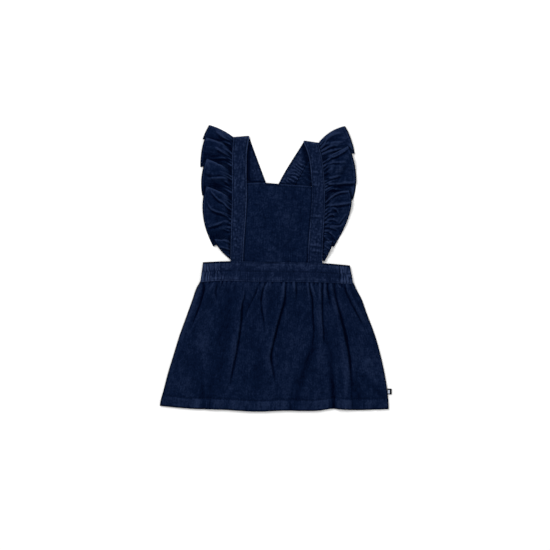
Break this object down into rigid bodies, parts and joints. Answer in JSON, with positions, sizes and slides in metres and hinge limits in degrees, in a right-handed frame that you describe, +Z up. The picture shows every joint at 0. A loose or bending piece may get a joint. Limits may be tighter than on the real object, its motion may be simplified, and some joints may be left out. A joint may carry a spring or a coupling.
{
  "type": "pinafore dress",
  "caption": "Baby's fine-wale corduroy pinafore laid flat: gathered skirt, waistband, plain bib and crossed back straps with pleated ruffles over the shoulders.",
  "frame": {"origin": "centre of the laid-out dress's outline, on the surface it lies on", "axes": "+X to the right of the dress as it lies front up, +Y from the hem to the shoulders, +Z up out of the front"},
  "size_m": [0.3648, 0.451, 0.01],
  "materials": {
    "corduroy": "fine-wale cotton corduroy, navy",
    "band_corduroy": "fine-wale cotton corduroy, navy, folded and topstitched",
    "woven_label": "plain woven tab, grey with a navy edge"
  },
  "bodies": {
    "root": {"skirt_front": "corduroy", "skirt_back": "corduroy", "waistband_front": "band_corduroy", "waistband_back": "band_corduroy", "bib": "corduroy", "strap_left": "band_corduroy", "strap_right": "band_corduroy", "ruffle_left": "corduroy", "ruffle_right": "corduroy", "side_label": "woven_label"}
  },
  "joints": []
}
